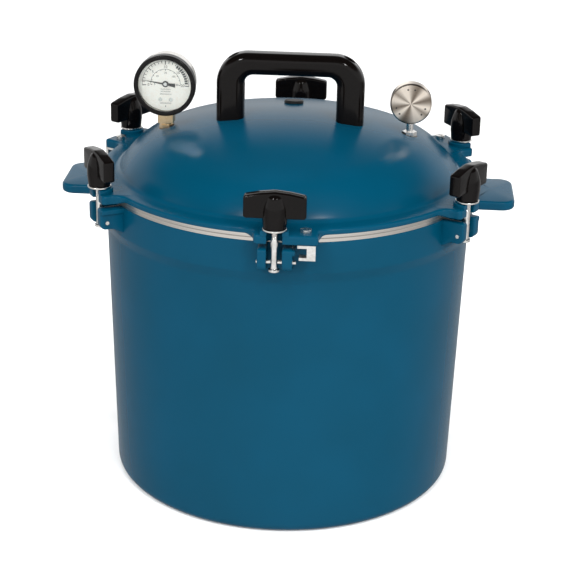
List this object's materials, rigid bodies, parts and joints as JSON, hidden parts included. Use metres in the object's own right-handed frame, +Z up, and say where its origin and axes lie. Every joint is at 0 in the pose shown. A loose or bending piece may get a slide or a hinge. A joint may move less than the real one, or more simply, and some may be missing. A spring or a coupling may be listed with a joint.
{
  "type": "pressure canner",
  "caption": "Cast pot with a domed lid clamped by swing bolts and wing knobs, with a pressure gauge, vent weight, relief plug and jar rack.",
  "frame": {"origin": "middle of the pot's bottom face", "axes": "+Z up, X along the side handles and the top handle, -Y towards the reader of the gauge"},
  "size_m": [0.398, 0.3768, 0.386],
  "materials": {
    "painted_aluminium": "gloss teal-blue paint on cast aluminium",
    "bare_aluminium": "bare machined aluminium",
    "bright_steel": "bright zinc-plated steel",
    "turned_steel": "face-turned stainless steel",
    "phenolic": "glossy brown-black phenolic",
    "black_rubber": "matt rubber",
    "polished_case": "polished",
    "bezel_plastic": "glossy black",
    "clear_lens": "clear",
    "dial_white": "matt white print",
    "pointer_black": "matt black",
    "brass": "machined brass"
  },
  "bodies": {
    "pot": {"pot_body": "painted_aluminium", "hinge_pins": "bright_steel"},
    "rack": {"rack": "bare_aluminium"},
    "lid": {"lid_casting": "painted_aluminium", "top_handle": "phenolic", "handle_screws": "bright_steel", "stop_brackets": "bright_steel", "bracket_screws": "bright_steel", "vent_pipe": "bright_steel", "gauge_case": "polished_case", "gauge_bezel": "bezel_plastic", "gauge_lens": "clear_lens", "gauge_dial": "dial_white", "dial_screws": "bright_steel", "gauge_movement": "brass", "bourdon_tube": "brass", "gauge_stem": "brass"},
    "weight": {"regulator_weight": "turned_steel"},
    "plug": {"overpressure_plug": "black_rubber"},
    "pointer": {"gauge_pointer": "pointer_black"},
    "bolt_1": {"swing_bolt_1": "bright_steel"},
    "washer_body_1": {"washer_1": "bright_steel"},
    "knob_1": {"wing_knob_1": "phenolic", "knob_insert_1": "brass"},
    "bolt_2": {"swing_bolt_2": "bright_steel"},
    "washer_body_2": {"washer_2": "bright_steel"},
    "knob_2": {"wing_knob_2": "phenolic", "knob_insert_2": "brass"},
    "bolt_3": {"swing_bolt_3": "bright_steel"},
    "washer_body_3": {"washer_3": "bright_steel"},
    "knob_3": {"wing_knob_3": "phenolic", "knob_insert_3": "brass"},
    "bolt_4": {"swing_bolt_4": "bright_steel"},
    "washer_body_4": {"washer_4": "bright_steel"},
    "knob_4": {"wing_knob_4": "phenolic", "knob_insert_4": "brass"},
    "bolt_5": {"swing_bolt_5": "bright_steel"},
    "washer_body_5": {"washer_5": "bright_steel"},
    "knob_5": {"wing_knob_5": "phenolic", "knob_insert_5": "brass"},
    "bolt_6": {"swing_bolt_6": "bright_steel"},
    "washer_body_6": {"washer_6": "bright_steel"},
    "knob_6": {"wing_knob_6": "phenolic", "knob_insert_6": "brass"}
  },
  "joints": [
    {"name": "lid_lift", "type": "slide", "parent": "pot", "child": "lid", "axis": [0, 0, 1], "range_m": [0, 0.12]},
    {"name": "rack_lift", "type": "slide", "parent": "pot", "child": "rack", "axis": [0, 0, 1], "range_m": [0, 0.2]},
    {"name": "weight_lift", "type": "slide", "parent": "lid", "child": "weight", "axis": [0, 0, 1], "range_m": [0, 0.015]},
    {"name": "plug_pop", "type": "slide", "parent": "lid", "child": "plug", "axis": [0, 0.1222, 0.9925], "range_m": [0, 0.014]},
    {"name": "pointer_turn", "type": "hinge", "parent": "lid", "child": "pointer", "pos_m": [-0.109, -0.01, 0.35619], "axis": [0, 1, 0], "range_deg": [0, 185]},
    {"name": "bolt_swing_1", "type": "hinge", "parent": "pot", "child": "bolt_1", "pos_m": [0, -0.1782, 0.2604], "axis": [-1, 0, 0], "range_deg": [-150, 0]},
    {"name": "knob_travel_1", "type": "slide", "parent": "bolt_1", "child": "washer_body_1", "axis": [0, 0, 1], "range_m": [0, 0.12]},
    {"name": "knob_spin_1", "type": "hinge", "parent": "washer_body_1", "child": "knob_1", "pos_m": [0, -0.1782, 0.3], "axis": [0, 0, 1], "continuous": true},
    {"name": "bolt_swing_2", "type": "hinge", "parent": "pot", "child": "bolt_2", "pos_m": [0.15433, -0.0891, 0.2604], "axis": [-0.5, -0.866, 0], "range_deg": [-150, 0]},
    {"name": "knob_travel_2", "type": "slide", "parent": "bolt_2", "child": "washer_body_2", "axis": [0, 0, 1], "range_m": [0, 0.12]},
    {"name": "knob_spin_2", "type": "hinge", "parent": "washer_body_2", "child": "knob_2", "pos_m": [0.15433, -0.0891, 0.3], "axis": [0, 0, 1], "continuous": true},
    {"name": "bolt_swing_3", "type": "hinge", "parent": "pot", "child": "bolt_3", "pos_m": [0.15433, 0.0891, 0.2604], "axis": [0.5, -0.866, 0], "range_deg": [-150, 0]},
    {"name": "knob_travel_3", "type": "slide", "parent": "bolt_3", "child": "washer_body_3", "axis": [0, 0, 1], "range_m": [0, 0.12]},
    {"name": "knob_spin_3", "type": "hinge", "parent": "washer_body_3", "child": "knob_3", "pos_m": [0.15433, 0.0891, 0.3], "axis": [0, 0, 1], "continuous": true},
    {"name": "bolt_swing_4", "type": "hinge", "parent": "pot", "child": "bolt_4", "pos_m": [0, 0.1782, 0.2604], "axis": [1, 0, 0], "range_deg": [-150, 0]},
    {"name": "knob_travel_4", "type": "slide", "parent": "bolt_4", "child": "washer_body_4", "axis": [0, 0, 1], "range_m": [0, 0.12]},
    {"name": "knob_spin_4", "type": "hinge", "parent": "washer_body_4", "child": "knob_4", "pos_m": [0, 0.1782, 0.3], "axis": [0, 0, 1], "continuous": true},
    {"name": "bolt_swing_5", "type": "hinge", "parent": "pot", "child": "bolt_5", "pos_m": [-0.15433, 0.0891, 0.2604], "axis": [0.5, 0.866, 0], "range_deg": [-150, 0]},
    {"name": "knob_travel_5", "type": "slide", "parent": "bolt_5", "child": "washer_body_5", "axis": [0, 0, 1], "range_m": [0, 0.12]},
    {"name": "knob_spin_5", "type": "hinge", "parent": "washer_body_5", "child": "knob_5", "pos_m": [-0.15433, 0.0891, 0.3], "axis": [0, 0, 1], "continuous": true},
    {"name": "bolt_swing_6", "type": "hinge", "parent": "pot", "child": "bolt_6", "pos_m": [-0.15433, -0.0891, 0.2604], "axis": [-0.5, 0.866, 0], "range_deg": [-150, 0]},
    {"name": "knob_travel_6", "type": "slide", "parent": "bolt_6", "child": "washer_body_6", "axis": [0, 0, 1], "range_m": [0, 0.12]},
    {"name": "knob_spin_6", "type": "hinge", "parent": "washer_body_6", "child": "knob_6", "pos_m": [-0.15433, -0.0891, 0.3], "axis": [0, 0, 1], "continuous": true}
  ],
  "couplings": [
    {"joint": "knob_travel_1", "follows": "lid_lift", "ratio": 1},
    {"joint": "knob_travel_2", "follows": "lid_lift", "ratio": 1},
    {"joint": "knob_travel_3", "follows": "lid_lift", "ratio": 1},
    {"joint": "knob_travel_4", "follows": "lid_lift", "ratio": 1},
    {"joint": "knob_travel_5", "follows": "lid_lift", "ratio": 1},
    {"joint": "knob_travel_6", "follows": "lid_lift", "ratio": 1}
  ]
}
